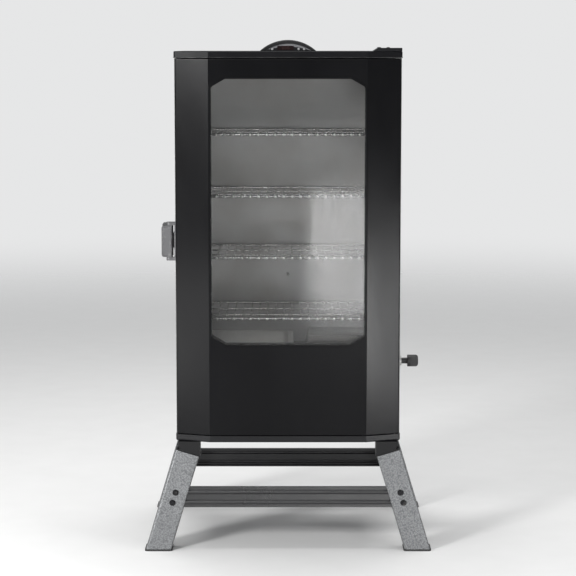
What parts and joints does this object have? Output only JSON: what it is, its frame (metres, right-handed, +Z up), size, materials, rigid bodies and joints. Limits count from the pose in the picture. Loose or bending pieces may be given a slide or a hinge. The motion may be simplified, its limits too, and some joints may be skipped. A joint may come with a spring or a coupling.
{
  "type": "electric cabinet smoker",
  "caption": "Tall insulated black cabinet smoker with a glazed door, wire racks, pans, a side chip loader, an arched control pod and a splayed leg stand.",
  "frame": {"origin": "centre of the outline on the ground, under the cabinet", "axes": "+Z up, +Y from the door to the back, +X to the side with the chip loader"},
  "size_m": [0.7096, 0.5196, 1.257],
  "materials": {
    "cabinet_black": "satin",
    "top_black": "satin",
    "stainless": "brushed",
    "stainless_dark": "heat darkened",
    "galvanised": "satin",
    "chrome_wire": "polished",
    "enamel_black": "gloss",
    "hammered_grey": "hammered",
    "latch_grey": "satin",
    "black_plastic": "matte",
    "gloss_black": "gloss",
    "display_red": "gloss",
    "button_grey": "matte",
    "board_green": "matte",
    "glass": "clear",
    "seal_rubber": "matte",
    "foot_rubber": "matte",
    "mineral_wool": "fibrous",
    "black_steel": "blackened",
    "element_steel": "matte"
  },
  "bodies": {
    "cabinet": {"base_pan": "cabinet_black", "top_cap": "top_black", "left_side_panel": "cabinet_black", "right_side_panel": "cabinet_black", "rear_panel": "cabinet_black", "face_frame": "stainless", "liner_left": "stainless", "liner_right": "stainless", "liner_rear": "stainless", "liner_top": "stainless", "liner_floor": "stainless", "wall_insulation": "mineral_wool", "rack_rails": "chrome_wire", "chip_housing": "stainless_dark", "heating_element": "element_steel", "temperature_probe": "stainless", "loader_sleeve": "stainless", "element_cover": "cabinet_black", "power_inlet": "black_plastic", "grease_rails": "galvanised", "vent_tube": "galvanised", "control_housing": "black_plastic", "control_fascia": "gloss_black", "display_lens": "display_red", "circuit_board": "board_green", "hinge_brackets": "black_steel", "hinge_pins": "galvanised", "latch_keeper": "galvanised", "leg_front_left": "hammered_grey", "leg_front_right": "hammered_grey", "leg_rear_left": "hammered_grey", "leg_rear_right": "hammered_grey", "crossbars": "cabinet_black", "leg_bolts": "black_steel", "corner_blocks": "black_plastic", "foot_pads": "foot_rubber", "panel_screws": "black_steel"},
    "door": {"door_skin": "cabinet_black", "door_liner": "stainless", "door_insulation": "mineral_wool", "door_seal": "seal_rubber", "window_frame": "cabinet_black", "door_glass": "glass", "hinge_bushes": "galvanised", "latch_bracket": "latch_grey"},
    "latch_lever": {"latch_lever": "latch_grey"},
    "rack_1": {"rack_1": "chrome_wire"},
    "rack_2": {"rack_2": "chrome_wire"},
    "rack_3": {"rack_3": "chrome_wire"},
    "rack_4": {"rack_4": "chrome_wire"},
    "water_pan": {"water_pan": "stainless"},
    "drip_pan": {"drip_pan": "stainless"},
    "chip_tray": {"chip_tray": "stainless_dark"},
    "grease_tray": {"grease_tray": "galvanised"},
    "loader_cover": {"loader_cover": "stainless"},
    "loader_cup": {"loader_cup": "stainless"},
    "vent_damper": {"vent_damper": "galvanised"},
    "button_power": {"button_power": "button_grey"},
    "button_down": {"button_down": "button_grey"},
    "button_up": {"button_up": "button_grey"}
  },
  "joints": [
    {"name": "door_hinge", "type": "hinge", "parent": "cabinet", "child": "door", "pos_m": [0.264, -0.203, 0.75], "axis": [0, 0, 1], "range_deg": [0, 130]},
    {"name": "latch_pivot", "type": "hinge", "parent": "door", "child": "latch_lever", "pos_m": [-0.291, -0.201, 0.7665], "axis": [0, 0, 1], "range_deg": [0, 55]},
    {"name": "rack_1_slide", "type": "slide", "parent": "cabinet", "child": "rack_1", "axis": [0, -1, 0], "range_m": [0, 0.06]},
    {"name": "rack_2_slide", "type": "slide", "parent": "cabinet", "child": "rack_2", "axis": [0, -1, 0], "range_m": [0, 0.06]},
    {"name": "rack_3_slide", "type": "slide", "parent": "cabinet", "child": "rack_3", "axis": [0, -1, 0], "range_m": [0, 0.06]},
    {"name": "rack_4_slide", "type": "slide", "parent": "cabinet", "child": "rack_4", "axis": [0, -1, 0], "range_m": [0, 0.06]},
    {"name": "water_pan_slide", "type": "slide", "parent": "cabinet", "child": "water_pan", "axis": [0, -1, 0], "range_m": [0, 0.06]},
    {"name": "drip_pan_slide", "type": "slide", "parent": "cabinet", "child": "drip_pan", "axis": [0, -1, 0], "range_m": [0, 0.06]},
    {"name": "chip_tray_slide", "type": "slide", "parent": "cabinet", "child": "chip_tray", "axis": [0, -1, 0], "range_m": [0, 0.06]},
    {"name": "grease_tray_slide", "type": "slide", "parent": "cabinet", "child": "grease_tray", "axis": [0, 1, 0], "range_m": [0, 0.15]},
    {"name": "loader_slide", "type": "slide", "parent": "cabinet", "child": "loader_cover", "axis": [1, 0, 0], "range_m": [0, 0.16]},
    {"name": "loader_turn", "type": "hinge", "parent": "loader_cover", "child": "loader_cup", "pos_m": [0.27, -0.06, 0.446], "axis": [1, 0, 0], "range_deg": [0, 180]},
    {"name": "vent_turn", "type": "hinge", "parent": "cabinet", "child": "vent_damper", "pos_m": [0, 0.11, 1.2328], "axis": [0, 0, 1], "range_deg": [0, 45]},
    {"name": "button_power_press", "type": "slide", "parent": "cabinet", "child": "button_power", "axis": [0, 1, 0], "range_m": [0, 0.001], "stiffness_N_per_m": 300},
    {"name": "button_down_press", "type": "slide", "parent": "cabinet", "child": "button_down", "axis": [0, 1, 0], "range_m": [0, 0.001], "stiffness_N_per_m": 300},
    {"name": "button_up_press", "type": "slide", "parent": "cabinet", "child": "button_up", "axis": [0, 1, 0], "range_m": [0, 0.001], "stiffness_N_per_m": 300}
  ]
}
